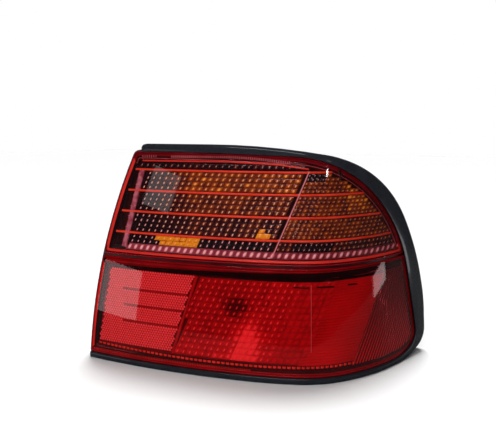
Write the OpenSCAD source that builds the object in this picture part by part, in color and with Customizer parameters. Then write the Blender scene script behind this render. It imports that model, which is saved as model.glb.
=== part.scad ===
// Right-hand tail light cluster that wraps round the corner of a car.
// Car frame: +X outboard, +Y forward, +Z up. The lenses face the rear, towards -Y.
// The lens mouldings are drawn along a line turned outboard from straight back.
// Seen along that draw, u runs to the right, w runs away and z runs up.

/* [Outline along the draw] */
// Height of the lamp from its foot to the top of the trim
lamp_h = 226.5; // [224:0.5:232]
// Reach of the trim to the outboard side
outboard_u = 195.8; // [192:0.2:200]
// Inboard edge of the lenses at their foot
inboard_u = -168.8; // [-174:0.2:-164]
// Turn of the draw from straight back
draw_turn = 35; // [33:0.5:37]
// Radius of the inboard edge
inboard_r = 677; // [600:1:800]
// Lean of the inboard edge at its foot
inboard_lean = 3.3; // [2:0.1:4]
// Where the top strip of the trim begins
strip_start_u = -114.5; // [-118:0.5:-100]
// Width of the trim along the top
band_top = 8; // [7:0.5:9]
// Width of the trim at the outboard side
band_side = 14.8; // [13:0.2:17]
// Width of the trim along the foot
band_foot = 6.2; // [5.6:0.1:7]
// Height of the seam between the two lenses
seam_z = 109.5; // [100:0.5:118]
// Width of the seam
seam_gap = 2.4; // [1.6:0.2:3]
// Corner radius of the upper lens at its inboard top
lens_corner_r = 6; // [5:0.5:9]
// Corner radius of the lenses at the seam
seam_corner_r = 4; // [3:0.5:6]

/* [Face of the lamp] */
// Radius of the upright curve of the face
barrel_r = 750; // [700:5:820]
// Lean of the face at its foot
foot_lean = 5; // [4:0.5:6]
// Angle of one strip of the face, in plan
plan_step = 2; // [1.5:0.5:4]

/* [Trim] */
// Wall thickness of the trim
trim_wall = 2.5; // [2:0.1:3]
// Depth of the trim's side wall behind the face
trim_depth = 20; // [18:0.5:24]
// How far the lenses sit below the trim
lens_inset = 2.5; // [1.5:0.1:3]
// Gap round the lenses
rim_gap = 0.4; // [0.3:0.1:0.8]

/* [Lenses] */
// Thickness of the lens faces
lens_t = 3; // [2.5:0.1:3.5]
// Thickness of the skirt behind the lens edge
skirt_t = 2.8; // [2.2:0.1:3.2]
// Depth of the skirt's end behind the face
skirt_depth = 12; // [11:0.5:14]
// Height of the rib above the seam
rib_first_z = 134; // [126:0.5:140]
// Pitch of the horizontal ribs
rib_pitch = 21.8; // [20:0.1:22.5]
// Thickness of a rib
rib_t = 2; // [1.4:0.1:2.6]
// Depth of a rib behind the lens
rib_depth = 2.4; // [1.5:0.1:3]
// Distance of the rib ends from the lens edge
rib_inset = 9; // [7:0.5:12]
// Where the slanted rib meets the foot of the upper lens
slant_rib_u = 22; // [10:1:40]
// How far the slanted rib leans outboard over the height of the upper lens
slant_rib_lean = 42; // [20:1:50]
// Thickness of the slanted rib
slant_rib_t = 1.2; // [1:0.1:2]
// Distance of the inboard bar from the lens edge
bar_inset = 17.6; // [15:0.2:20]
// Width of the inboard bar
bar_w = 6.8; // [4:0.2:9]
// Where the flutes of the lower lens begin
flute_u = 95; // [80:1:110]
// Pitch of the flutes
flute_pitch = 6.2; // [5:0.1:9]
// Width of a flute
flute_w = 3.4; // [2:0.1:4.5]
// Depth of a flute
flute_depth = 0.9; // [0.5:0.1:1.5]
// Lean of the flutes from upright
flute_lean = 24; // [15:1:30]
// Distance of the flutes from the lens edge
flute_inset = 6; // [4:0.5:10]
// Thickness of the amber filter
amber_t = 1.8; // [1.4:0.1:2.4]
// Gap round the amber filter in its opening
amber_gap = 0.3; // [0.2:0.05:0.6]
// Depth of the amber filter behind the face
amber_depth = 14; // [13:0.2:15]
// Reach of the reflex reflector from the inboard end of the foot
reflex_w = 88; // [70:1:92]
// How much further the reflex reflector reaches at the seam
reflex_lean = 36; // [20:1:40]
// Thickness of the reflex plate
reflex_t = 2.2; // [1.6:0.1:3]
// Distance of the reflex plate from the lens edge
reflex_inset = 10; // [9:0.5:12]
// Depth of the sealing beads
bead_t = 2.5; // [2:0.1:3]

/* [Housing] */
// Wall thickness of the housing
wall = 2.5; // [2:0.1:3]
// Distance of the bucket's back face from the datum of the face
back_y = 105; // [102:0.5:110]
// Distance of the bucket's inboard side from the lens edge
bucket_inset = 2; // [1:0.5:4]
// Outboard face of the bucket
bucket_x1 = 40; // [36:0.5:44]
// Foot of the bucket
bucket_z0 = 8; // [7.5:0.5:8.5]
// Top of the bucket
bucket_z1 = 210; // [208:0.5:212]
// Corner radius of the bucket
bucket_r = 14; // [10:0.5:18]
// Start of the lens flange behind the face
flange_front = 8; // [7.5:0.5:9]
// Back of the lens flange behind the face
flange_back = 18; // [17.5:0.5:20]
// Overhang of the flange past the inboard edge of the lenses
flange_out = 1.5; // [1:0.1:2]
// Width of the land inside the skirt
flange_land = 6; // [5:0.5:7]
// Depth of the outboard wing behind the face
wing_depth = 28; // [26:0.5:32]
// Reach of the outboard end behind the deepest point of the face
end_lip = 2.2; // [1.5:0.1:6]

/* [Bulbs and holders] */
// Turn bulb, across
turn_x = -62; // [-70:0.5:-56]
// Turn bulb, up
turn_z = 165; // [163:0.5:166]
// Stop bulb, across
stop_x = -56; // [-64:0.5:-55]
// Side bulb, across
side_x = 12; // [10:0.5:14]
// Both lower bulbs, up
lower_z = 56; // [54.5:0.5:58]
// Radius of the bulb holder's barrel
barrel_hole_r = 15; // [14:0.1:16]
// Radius of the holder's flange
holder_flange_r = 20; // [19:0.5:22]
// Thickness of the holder's flange
holder_flange_t = 3; // [2.5:0.5:4]
// Thickness of the holder's seal
seal_t = 2; // [1.5:0.1:2.5]
// Running gap of the holder in its hole
holder_gap = 0.3; // [0.2:0.05:0.5]
// Radius of the big bulbs' glass
glass_r = 12.5; // [11:0.5:13]
// Length of the big bulbs' glass
glass_len = 34; // [30:1:36]
// Radius of the small bulb's glass
side_glass_r = 9; // [8:0.5:10]
// Length of the small bulb's glass
side_glass_len = 24; // [20:1:26]
// Radius of the bulb caps
cap_r = 7.5; // [7:0.1:8]
// Length of the bulb caps
cap_len = 15; // [13:0.5:16]
// Width of the connector inlet
inlet_w = 18; // [16:0.5:20]
// Height of the connector inlet
inlet_h = 9; // [8:0.5:10]
// Depth of the connector inlet
inlet_depth = 14; // [12:0.5:16]
// Wall of the connector inlet
inlet_wall = 2; // [1.5:0.1:2.5]

/* [Reflectors] */
// Radius of the two big dishes
dish_r = 38; // [34:0.5:38.5]
// Radius of the small dish
side_dish_r = 19; // [17:0.5:19.5]
// Width of the rim round a dish
dish_rim = 2.8; // [2:0.1:3]
// Wall of a dish
dish_t = 1.4; // [1.2:0.1:2]
// Focal length of a big dish
dish_focus = 22; // [18:0.5:26]
// Focal length of the small dish
side_dish_focus = 14; // [12:0.5:18]
// Gap from the bucket's floor to the back of a dish
dish_gap = 3; // [2:0.5:5]

/* [Fixings] */
// Thread radius of the mounting studs
stud_r = 3; // [2.5:0.5:4]
// Free length of the studs
stud_len = 20; // [16:1:26]
// Pitch of the studs across
stud_pitch_x = 178; // [172:1:180]
// Pitch of the studs up
stud_pitch_z = 172; // [168:1:176]
// Distance of the outboard studs from the bucket's outboard face
stud_edge = 27; // [25:0.5:30]
// Radius of the stud bosses
stud_boss_r = 7; // [6:0.5:8]
// Thickness of the body gasket
gasket_t = 6; // [4:0.5:8]
// Width of the body gasket
gasket_w = 11; // [9:0.5:13]
// Height where the gasket's outboard side begins to turn in
gasket_turn_z = 92; // [86:1:94]
// Reach of the gasket's outboard side at its top
gasket_top_x = 17.5; // [14:0.5:18]
// Radius of the vent pipes
vent_r = 4.5; // [4:0.1:5.5]
// Length of the vent pipes
vent_len = 12; // [9:0.5:16]

/* [Hidden] */
far = 400;
arc_step = 3;
round_fn = 64;

// Plan of the face at its foot: radius and turn of each tangent arc, from the inboard end
plan_start = [-195.1, 114.7];
plan_head = -38;
plan_arcs = [[640, 20], [235, 11], [75, 36.3], [185, 21.7], [900, 9]];
// Trim outline: radius and turn of each arc, clockwise from the top, with the place of the straight side
trim_arcs = [[680, 10], [122, 54.5], [270, 24.5], [18.5, 62], [69, 29]];
// Lens outline, in the same way
lens_arcs = [[2900, 2.8], [124, 44.3], [156, 33.2], [18, 77], [53, 22.7]];
straight_at = 3;

lens_top = lamp_h - band_top;
lens_foot = band_foot;
lens_right = outboard_u - band_side;
lens_face = lens_inset;
lens_back = lens_face + lens_t;
groove_floor = skirt_depth + bead_t;
axis_w = barrel_r * cos(foot_lean);
axis_z = -barrel_r * sin(foot_lean);
sweep_room = 3;
sweep_from = foot_lean - sweep_room;
back_room = 10;
floor_y = back_y - wall;
stud_mid_x = bucket_x1 - stud_edge - stud_pitch_x / 2;
stud_mid_z = (bucket_z0 + bucket_z1) / 2 - 1;
flange_y = back_y + seal_t;
holder_back = flange_y + holder_flange_t;
holder_nose = 6;
barrel_front = floor_y - holder_nose;
cap_foot = flange_y - 1;
cap_front = cap_foot - cap_len;
front_room = 60;
holder_r = barrel_hole_r - holder_gap;
lug_w = 7;
lug_reach = holder_r + 2.5;
lug_t = 2.4;
post_r = 2;
glass_wall = 0.8;
glass_root = 3;
wire_gap = 2.5;
wire_r = 0.4;
blade_pitch = 8;
blade_t = 0.8;
blade_w = 5;
blade_len = 10;
stud_grip = 9;
stud_shank_r = stud_r + 0.8;
stud_collar_r = stud_r + 2.5;
stud_collar_t = 1.5;
vent_x = -118;
vent_wall = 1.6;
vent_cap_wall = 1.5;
gasket_edge = 2;
trim_end_gap = 1;
seal_inset = 1;
wing_inset = 1;
trim_corner_r = 4.5;
trim_face_depth = lens_back + 0.5;
// Each lamp: place, dish radius, dish focus, glass radius and glass length
turn = [[turn_x, turn_z], dish_r, dish_focus, glass_r, glass_len];
stop = [[stop_x, lower_z], dish_r, dish_focus, glass_r, glass_len];
side = [[side_x, lower_z], side_dish_r, side_dish_focus, side_glass_r, side_glass_len];
lamps = [turn, stop, side];

// Plan arcs
function head(i) = i == 0 ? plan_head : head(i - 1) + plan_arcs[i - 1][1];
function arc_from(i) = i == 0 ? plan_start
    : arc_from(i - 1) + plan_arcs[i - 1][0] * [sin(head(i)) - sin(head(i - 1)), cos(head(i - 1)) - cos(head(i))];
function arc_centre(i) = arc_from(i) + plan_arcs[i][0] * [-sin(head(i)), cos(head(i))];
function arc_points(i, t) = let (n = ceil(plan_arcs[i][1] / plan_step), last = i == len(plan_arcs) - 1 ? n : n - 1)
    [for (k = [0:last]) let (h = head(i) + plan_arcs[i][1] * k / n)
        arc_centre(i) + (plan_arcs[i][0] - t) * [sin(h), -cos(h)]];
function plan_points(t) = [for (i = [0:len(plan_arcs) - 1]) each arc_points(i, t)];
function flange_x(z, g) = let (q = edge_point(z, inboard_r - g)) to_car(q[0], face_w(q[0], z, flange_back))[0];
function reversed(v) = [for (i = [len(v) - 1:-1:0]) v[i]];

// Depth of the face at a point of the outline
function arc_heading(i, u, t) = asin((u - arc_centre(i)[0]) / (plan_arcs[i][0] - t));
function foot_w(u, t = 0, i = 0) = i == len(plan_arcs) - 1 || arc_heading(i, u, t) <= head(i + 1)
    ? arc_centre(i)[1] - (plan_arcs[i][0] - t) * cos(arc_heading(i, u, t)) : foot_w(u, t, i + 1);
function face_w(u, z, t = 0) = axis_w - sqrt(pow(barrel_r - foot_w(u, t), 2) - pow(z - axis_z, 2));
function to_car(u, w) = [u * cos(draw_turn) - w * sin(draw_turn), u * sin(draw_turn) + w * cos(draw_turn)];

// Outlines: arcs clockwise from the top, a straight side, and a level foot
function turned(arcs, i) = i <= 0 ? 0 : turned(arcs, i - 1) + arcs[i - 1][1];
function arc_run(arcs, i) = arcs[i][0] * [sin(turned(arcs, i + 1)) - sin(turned(arcs, i)),
                                          cos(turned(arcs, i + 1)) - cos(turned(arcs, i))];
function run_sum(arcs, n, i = 0) = i >= n ? [0, 0] : arc_run(arcs, i) + run_sum(arcs, n, i + 1);
function side_len(arcs, h) = (h + run_sum(arcs, len(arcs))[1]) / sin(turned(arcs, straight_at));
function side_run(arcs, h) = let (a = turned(arcs, straight_at)) side_len(arcs, h) * [cos(a), -sin(a)];
function reach(arcs, h) = run_sum(arcs, straight_at)[0] + side_run(arcs, h)[0]
    + arcs[straight_at][0] * (1 - sin(turned(arcs, straight_at)));
function turn_start(arcs, i, top, foot, right) = [right - reach(arcs, top - foot), top] + run_sum(arcs, i)
    + (i >= straight_at ? side_run(arcs, top - foot) : [0, 0]);
function turn_centre(arcs, i, top, foot, right) = let (a = turned(arcs, i))
    turn_start(arcs, i, top, foot, right) - arcs[i][0] * [sin(a), cos(a)];
function round_side(arcs, top, foot, right, g) = [for (i = [0:len(arcs) - 1])
    let (n = ceil(arcs[i][1] / arc_step))
    for (k = [0:n]) let (a = turned(arcs, i) + arcs[i][1] * k / n)
        turn_centre(arcs, i, top, foot, right) + (arcs[i][0] - g) * [sin(a), cos(a)]];

// Inboard edge of the lenses, inset by g, between two heights with a rounded corner at each
inboard_centre = [inboard_u + inboard_r * cos(inboard_lean), lens_foot - inboard_r * sin(inboard_lean)];
function edge_angle(z, r) = asin((z - inboard_centre[1]) / r);
function edge_point(z, r) = inboard_centre + r * [-cos(edge_angle(z, r)), sin(edge_angle(z, r))];
function corner_arc(z, r, c, from, to) = let (m = edge_point(z, r - c))
    [for (k = [0:4]) let (a = from + (to - from) * k / 4) m + c * [-cos(a), sin(a)]];
function inboard_edge(z0, z1, c0, c1, g) = let (r = inboard_r - g, a0 = edge_angle(z0 + c0, r - c0),
                                                a1 = edge_angle(z1 - c1, r - c1), n = 12)
    concat(corner_arc(z0 + c0, r, c0, -90, a0),
           [for (k = [1:n - 1]) let (a = a0 + (a1 - a0) * k / n) inboard_centre + r * [-cos(a), sin(a)]],
           corner_arc(z1 - c1, r, c1, a1, 90));

// Flat shapes, in u and z
module lens_region(g, z0 = lens_foot, c0 = 1) {
    polygon(concat(inboard_edge(z0 + g, lens_top - g, c0, max(lens_corner_r - g, 1), g),
                   round_side(lens_arcs, lens_top, lens_foot, lens_right, g)));
}
module upper_region(g) {
    intersection() {
        lens_region(g, seam_z + seam_gap / 2, max(seam_corner_r - g, 1));
        translate([-far, seam_z + seam_gap / 2 + g]) square([2 * far, far]);
    }
}
module lower_region(g) {
    difference() {
        intersection() {
            lens_region(g);
            translate([-far, 0]) square([2 * far, seam_z - seam_gap / 2 - g]);
        }
        if (g == 0)
            seam_corner_cut();
    }
}
module seam_corner_cut() {
    z = seam_z - seam_gap / 2 - seam_corner_r;
    m = edge_point(z, inboard_r - seam_corner_r);
    difference() {
        translate([m[0] - 2 * seam_corner_r, m[1]]) square([2 * seam_corner_r, 2 * seam_corner_r]);
        translate(m) circle(r = seam_corner_r, $fn = round_fn);
    }
}
module trim_region(g) {
    c = trim_corner_r;
    intersection() {
        polygon(concat([[inboard_u, g], [inboard_u, lens_foot + 1], [strip_start_u, lens_foot + 1],
                        [strip_start_u, lamp_h - c]],
                       [for (a = [0:15:90]) [strip_start_u + c - c * cos(a), lamp_h - c + (c - g) * sin(a)]],
                       round_side(trim_arcs, lamp_h, 0, outboard_u, g)));
        translate([-far, g]) square([2 * far, far]);
    }
}

// Solids between two depths behind the face, and all that lies behind one depth
module swept(points, to) {
    translate([0, axis_w, axis_z])
        rotate([0, 90, 0])
            rotate([0, 0, -90 - to])
                rotate_extrude(angle = to - sweep_from, $fn = 360)
                    polygon([for (q = points) [barrel_r - q[1], q[0]]]);
}
function sweep_to(w) = asin((lamp_h - axis_z) / (barrel_r - w)) + sweep_room;
function last(v) = v[len(v) - 1];
band_to = sweep_to(last(plan_points(wing_depth))[1]);
module face_band(t0, t1) {
    swept(concat(plan_points(t0), reversed(plan_points(t1))), band_to);
}
module behind_face(t) {
    front = plan_points(t);
    back_w = back_y * cos(draw_turn) - box_x0 * sin(draw_turn) + back_room;
    swept(concat(front, [[last(front)[0], back_w], [front[0][0], back_w]]), sweep_to(back_w));
}
module along_draw() {
    translate([0, far, 0])
        rotate([90, 0, 0])
            linear_extrude(2 * far)
                children();
}
module slab(t0, t1) {
    intersection() {
        face_band(t0, t1);
        along_draw()
            children();
    }
}

// The part's place: its foot on z = 0, its box centred on the axes
box_points = [for (q = round_side(trim_arcs, lamp_h, 0, outboard_u, 0)) to_car(q[0], face_w(q[0], q[1]))];
foot_points = [for (u = [inboard_u:2:0]) to_car(u, face_w(u, 0))];
box_x0 = min([for (z = [lens_foot:2:lamp_h / 4]) flange_x(z, -flange_out)]);
box_x1 = max([for (q = box_points) q[0]]);
box_y0 = min([for (q = foot_points) q[1]]);
end_y = max([for (q = box_points) q[1]]) + end_lip;
centre_shift = [-(box_x0 + box_x1) / 2, -(box_y0 + end_y) / 2, 0];
module placed() {
    translate(centre_shift)
        children();
}
module drawn() {
    placed()
        rotate([0, 0, draw_turn])
            children();
}
module forward(at, y) {
    translate([at[0], y, at[1]])
        rotate([-90, 0, 0])
            children();
}
module before_end(y) {
    intersection() {
        children();
        rotate([0, 0, -draw_turn])
            translate([-far, y - 2 * far, -far])
                cube([2 * far, 2 * far, 2 * far]);
    }
}

// Trim: a band round the lenses with a side wall, open at the inboard side
module trim_frame() {
    color([0.07, 0.08, 0.09])
        drawn()
            before_end(end_y) {
                slab(0, trim_face_depth)
                    difference() {
                        trim_region(0);
                        lens_region(-rim_gap);
                    }
                slab(lens_face, trim_depth)
                    difference() {
                        trim_region(0);
                        trim_region(trim_wall);
                        translate([-far, trim_wall]) square([far + strip_start_u, lamp_h - 2 * trim_wall]);
                    }
            }
}

// Upper lens with its skirt and its four ribs
module ribs_region() {
    intersection() {
        lens_region(rib_inset);
        for (k = [0:3])
            translate([-far, rib_first_z + k * rib_pitch - rib_t / 2]) square([2 * far, rib_t]);
    }
}
module inboard_bar() {
    low = seam_z + rib_inset;
    high = lens_top - bar_inset;
    n = 8;
    side = function (g) [for (k = [0:n]) edge_point(low + (high - low) * k / n, inboard_r - g)];
    polygon(concat(side(bar_inset), reversed(side(bar_inset + bar_w))));
}
module slanted_rib() {
    low = seam_z + rib_inset;
    high = lens_top - bar_inset;
    polygon([[slant_rib_u, low], [slant_rib_u + slant_rib_t, low],
             [slant_rib_u + slant_rib_lean + slant_rib_t, high], [slant_rib_u + slant_rib_lean, high]]);
}
module upper_lens() {
    color([0.75, 0.12, 0.14, 0.6])
        drawn() {
            slab(lens_face, lens_back)
                upper_region(0);
            slab(lens_back, skirt_depth)
                difference() {
                    upper_region(0);
                    upper_region(skirt_t);
                }
            slab(lens_back, lens_back + rib_depth) {
                ribs_region();
                inboard_bar();
                slanted_rib();
            }
        }
}
module flutes_region() {
    run = seam_z * tan(flute_lean);
    intersection() {
        lower_region(flute_inset);
        for (u = [flute_u:flute_pitch:lens_right])
            polygon([[u, 0], [u + flute_w, 0], [u + flute_w + run, seam_z], [u + run, seam_z]]);
    }
}
module lower_lens() {
    color([0.7, 0.02, 0.05, 0.7])
        drawn() {
            slab(lens_face, lens_back)
                lower_region(0);
            slab(lens_back, skirt_depth)
                difference() {
                    lower_region(0);
                    lower_region(skirt_t);
                }
            slab(lens_back, lens_back + flute_depth)
                flutes_region();
        }
}
module seam_seal() {
    color([0.1, 0.02, 0.03])
        drawn()
            slab(lens_back, flange_front)
                intersection() {
                    lens_region(seal_inset);
                    translate([-far, seam_z - seam_gap / 2]) square([2 * far, seam_gap]);
                }
}
module amber_filter() {
    color([0.95, 0.5, 0.05, 0.7])
        drawn()
            slab(amber_depth, amber_depth + amber_t)
                upper_region(skirt_t + flange_land + amber_gap);
}
module reflex_region() {
    intersection() {
        lower_region(reflex_inset);
        polygon([[-far, 0], [inboard_u + reflex_w, 0], [inboard_u + reflex_w + reflex_lean, seam_z], [-far, seam_z]]);
    }
}
module reflex_plate() {
    color([0.8, 0.1, 0.12])
        drawn()
            slab(lens_back, lens_back + reflex_t)
                reflex_region();
}
module bead(t0, t1) {
    slab(t0, t1)
        difference() {
            children(0);
            children(1);
        }
}
module upper_lens_bead() {
    color([0.15, 0.15, 0.16])
        drawn()
            bead(skirt_depth, groove_floor) {
                upper_region(0);
                upper_region(skirt_t);
            }
}
module lower_lens_bead() {
    color([0.15, 0.15, 0.16])
        drawn()
            bead(skirt_depth, groove_floor) {
                lower_region(0);
                lower_region(skirt_t);
            }
}

// Housing: lens flange with grooves, bucket, outboard wing and web between the chambers
module opening_region() {
    upper_region(skirt_t + flange_land);
    lower_region(skirt_t + flange_land);
}
module flange_outline() {
    difference() {
        trim_region(trim_wall + holder_gap);
        translate([-far, -1]) square([far + strip_start_u + trim_end_gap, lamp_h + 2]);
    }
    lens_region(-flange_out);
}
module groove_region() {
    difference() {
        union() {
            upper_region(-rim_gap / 2);
            lower_region(-rim_gap / 2);
        }
        upper_region(skirt_t + rim_gap / 2);
        lower_region(skirt_t + rim_gap / 2);
    }
}
module flange() {
    rotate([0, 0, draw_turn]) {
        slab(flange_front, groove_floor)
            difference() {
                flange_outline();
                groove_region();
                opening_region();
            }
        slab(groove_floor, flange_back)
            difference() {
                flange_outline();
                opening_region();
            }
    }
}
module bucket_outline(g) {
    n = 10;
    z0 = bucket_z0 + g;
    z1 = bucket_z1 - g;
    r = bucket_r - g;
    side = [for (k = [0:n]) let (z = z0 + (z1 - z0) * k / n) [flange_x(z, bucket_inset) + g, z]];
    polygon(concat(side, [for (a = [0:5:90]) [bucket_x1 - bucket_r + r * sin(a), bucket_z1 - bucket_r + r * cos(a)]],
                   [for (a = [90:5:180]) [bucket_x1 - bucket_r + r * sin(a), bucket_z0 + bucket_r + r * cos(a)]]));
}
module along_y(y0, y1) {
    translate([0, y1, 0])
        rotate([90, 0, 0])
            linear_extrude(y1 - y0)
                children();
}
module bucket_walls() {
    split_x = bucket_x1 - bucket_r;
    intersection() {
        along_y(-front_room, floor_y) {
            difference() {
                bucket_outline(0);
                bucket_outline(wall);
                translate([split_x, 0]) square([far, far]);
            }
            intersection() {
                bucket_outline(wall / 2);
                translate([-far, seam_z - wall / 2]) square([2 * far, wall]);
            }
        }
        rotate([0, 0, draw_turn])
            behind_face(flange_back - 1);
    }
    intersection() {
        along_y(-front_room, floor_y)
            intersection() {
                difference() {
                    bucket_outline(0);
                    bucket_outline(wall);
                }
                translate([split_x - 0.5, 0]) square([far, far]);
            }
        rotate([0, 0, draw_turn])
            behind_face(wing_depth - wall);
    }
}
module wing_inside() {
    difference() {
        lens_region(wall + wing_inset);
        translate([-far, seam_z - wall / 2]) square([2 * far, wall]);
    }
}
module wing() {
    outboard_of(bucket_x1 - bucket_r)
        rotate([0, 0, draw_turn]) {
            slab(flange_back - 1, wing_depth - wall)
                difference() {
                    lens_region(wing_inset);
                    wing_inside();
                }
            slab(wing_depth - wall, wing_depth)
                lens_region(wing_inset);
        }
}
module outboard_of(x) {
    intersection() {
        children();
        translate([x, -far, -far]) cube([2 * far, 2 * far, 2 * far]);
    }
}
module at_studs() {
    for (i = [-1, 1], k = [-1, 1])
        translate([stud_mid_x + i * stud_pitch_x / 2, 0, stud_mid_z + k * stud_pitch_z / 2])
            children();
}
module at_vents() {
    for (k = [-1, 1])
        translate([vent_x, 0, stud_mid_z + k * stud_pitch_z / 2])
            children();
}
module bayonet_notches(y, depth, grow) {
    for (a = [0:120:240])
        rotate([0, a, 0])
            translate([-lug_w / 2 - grow, y, 0]) cube([lug_w + 2 * grow, depth, lug_reach + grow]);
}
module housing() {
    color([0.2, 0.2, 0.21])
        placed()
            difference() {
                union() {
                    trimmed_end(end_y - 2 * trim_wall)
                        flange();
                    trimmed_end(end_y - 2 * trim_wall)
                        wing();
                    bucket_walls();
                    along_y(floor_y, back_y)
                        bucket_outline(0);
                    at_studs()
                        forward([0, 0], floor_y - stud_grip) cylinder(r = stud_boss_r, h = stud_grip + 1, $fn = round_fn);
                    at_vents()
                        forward([0, 0], back_y - 1) cylinder(r = vent_r, h = vent_len + 1, $fn = round_fn);
                    for (lamp = lamps)
                        dish_posts(lamp);
                }
                for (lamp = lamps) {
                    forward(lamp[0], floor_y - 1) cylinder(r = barrel_hole_r, h = wall + 2, $fn = round_fn);
                    translate([lamp[0][0], 0, lamp[0][1]])
                        bayonet_notches(floor_y - 1, wall + 2, holder_gap);
                }
                at_studs()
                    forward([0, 0], floor_y - stud_grip - 1)
                        cylinder(r = stud_shank_r, h = stud_grip + wall + 2, $fn = round_fn);
                at_vents()
                    forward([0, 0], floor_y - 1) cylinder(r = vent_r - vent_wall, h = vent_len + wall + 2, $fn = round_fn);
            }
}
module trimmed_end(y) {
    intersection() {
        children();
        translate([-far, y - 2 * far, -far]) cube([2 * far, 2 * far, 2 * far]);
    }
}

// Reflector dishes on posts that stand on the bucket's floor
function dish_depth(r, f) = r * r / (4 * f);
module dish_posts(lamp) {
    r = lamp[1] + dish_rim / 2;
    front = floor_y - dish_gap - dish_depth(lamp[1], lamp[2]);
    for (a = [45, 135, 225, 315])
        forward([lamp[0][0] + r * cos(a), lamp[0][1] + r * sin(a)], front + dish_t)
            cylinder(r = post_r, h = floor_y - front - dish_t + 0.5, $fn = 24);
}
module dish(lamp) {
    n = 10;
    r0 = barrel_hole_r + 1.2;
    r1 = lamp[1];
    f = lamp[2];
    inner = [for (k = [0:n]) let (r = r0 + (r1 - r0) * k / n) [r, dish_gap + dish_depth(r, f)]];
    outer = [for (k = [n:-1:0]) let (r = r0 + (r1 - r0) * k / n) [r, dish_gap + dish_depth(r, f) - dish_t]];
    rim = [for (t = [0, dish_t]) [r1 + dish_rim, dish_gap + dish_depth(r1, f) - t]];
    translate([lamp[0][0], floor_y, lamp[0][1]])
        rotate([90, 0, 0])
            rotate_extrude($fn = round_fn)
                polygon(concat(inner, rim, outer));
}
module turn_reflector() {
    color([0.85, 0.86, 0.88])
        placed() dish(turn);
}
module stop_reflector() {
    color([0.85, 0.86, 0.88])
        placed() dish(stop);
}
module side_reflector() {
    color([0.85, 0.86, 0.88])
        placed() dish(side);
}

// Bulbs: cap, glass and filament, on the axis of their holder
module glass(lamp) {
    r = lamp[3];
    len = lamp[4];
    neck = cap_r - glass_wall;
    translate([lamp[0][0], cap_front, lamp[0][1]])
        rotate([90, 0, 0])
            rotate_extrude($fn = round_fn)
                difference() {
                    glass_section(r, len, neck);
                    glass_section(r - glass_wall, len - glass_wall, neck - glass_wall);
                }
}
module glass_section(r, len, neck) {
    intersection() {
        union() {
            translate([0, len - r]) circle(r = r, $fn = round_fn);
            polygon([[0, -glass_root], [neck, -glass_root], [neck, 2], [r, len - r], [0, len - r]]);
        }
        translate([0, -glass_root]) square([far, far]);
    }
}
module cap(lamp) {
    translate([lamp[0][0], cap_foot, lamp[0][1]])
        rotate([90, 0, 0])
            difference() {
                cylinder(r = cap_r, h = cap_len, $fn = round_fn);
                translate([0, 0, cap_len - glass_root]) cylinder(r = cap_r - glass_wall, h = far, $fn = round_fn);
            }
}
module filament(lamp) {
    h = cap_front - (lamp[4] - lamp[3]);
    foot = cap_front + glass_root;
    translate([lamp[0][0], 0, lamp[0][1] - wire_r])
        linear_extrude(2 * wire_r)
            polygon([[-wire_gap, foot], [-wire_gap, h], [wire_gap, h], [wire_gap, foot],
                     [wire_gap - 2 * wire_r, foot], [wire_gap - 2 * wire_r, h + 2 * wire_r],
                     [2 * wire_r - wire_gap, h + 2 * wire_r], [2 * wire_r - wire_gap, foot]]);
}
module turn_bulb_glass() {
    color([0.9, 0.93, 0.95, 0.4])
        placed() glass(turn);
}
module stop_bulb_glass() {
    color([0.9, 0.93, 0.95, 0.4])
        placed() glass(stop);
}
module side_bulb_glass() {
    color([0.9, 0.93, 0.95, 0.4])
        placed() glass(side);
}
module turn_bulb_cap() {
    color([0.8, 0.7, 0.4])
        placed() cap(turn);
}
module stop_bulb_cap() {
    color([0.8, 0.7, 0.4])
        placed() cap(stop);
}
module side_bulb_cap() {
    color([0.8, 0.7, 0.4])
        placed() cap(side);
}
module bulb_filaments() {
    color([0.6, 0.6, 0.6])
        placed()
            for (lamp = lamps)
                filament(lamp);
}

// Quarter-turn holders with a connector inlet, their ring seals and their blades
module holder(lamp) {
    translate([lamp[0][0], 0, lamp[0][1]])
        difference() {
            union() {
                forward([0, 0], barrel_front) cylinder(r = holder_r, h = flange_y - barrel_front, $fn = round_fn);
                forward([0, 0], flange_y) cylinder(r = holder_flange_r, h = holder_flange_t, $fn = round_fn);
                rotate([0, 60, 0])
                    bayonet_notches(floor_y - holder_gap - lug_t, lug_t, 0);
                translate([-inlet_w / 2 - inlet_wall, holder_back - 1, -inlet_h / 2 - inlet_wall])
                    cube([inlet_w + 2 * inlet_wall, inlet_depth + 1, inlet_h + 2 * inlet_wall]);
            }
            forward([0, 0], barrel_front - 1) cylinder(r = cap_r + holder_gap, h = cap_foot - barrel_front + 1, $fn = round_fn);
            translate([-inlet_w / 2, holder_back, -inlet_h / 2])
                cube([inlet_w, inlet_depth + 1, inlet_h]);
        }
}
module holder_seal(lamp) {
    forward(lamp[0], back_y)
        difference() {
            cylinder(r = holder_flange_r - 0.5, h = seal_t, $fn = round_fn);
            translate([0, 0, -1]) cylinder(r = lug_reach + holder_gap + 0.2, h = seal_t + 2, $fn = round_fn);
        }
}
module turn_holder() {
    color([0.3, 0.3, 0.32])
        placed() holder(turn);
}
module stop_holder() {
    color([0.3, 0.3, 0.32])
        placed() holder(stop);
}
module side_holder() {
    color([0.3, 0.3, 0.32])
        placed() holder(side);
}
module turn_holder_seal() {
    color([0.1, 0.1, 0.1])
        placed() holder_seal(turn);
}
module stop_holder_seal() {
    color([0.1, 0.1, 0.1])
        placed() holder_seal(stop);
}
module side_holder_seal() {
    color([0.1, 0.1, 0.1])
        placed() holder_seal(side);
}
module holder_terminals() {
    color([0.8, 0.65, 0.3])
        placed()
            for (lamp = lamps, x = [-1, 1])
                translate([lamp[0][0] + x * blade_pitch / 2 - blade_t / 2, holder_back, lamp[0][1] - blade_w / 2])
                    cube([blade_t, blade_len, blade_w]);
}

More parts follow.
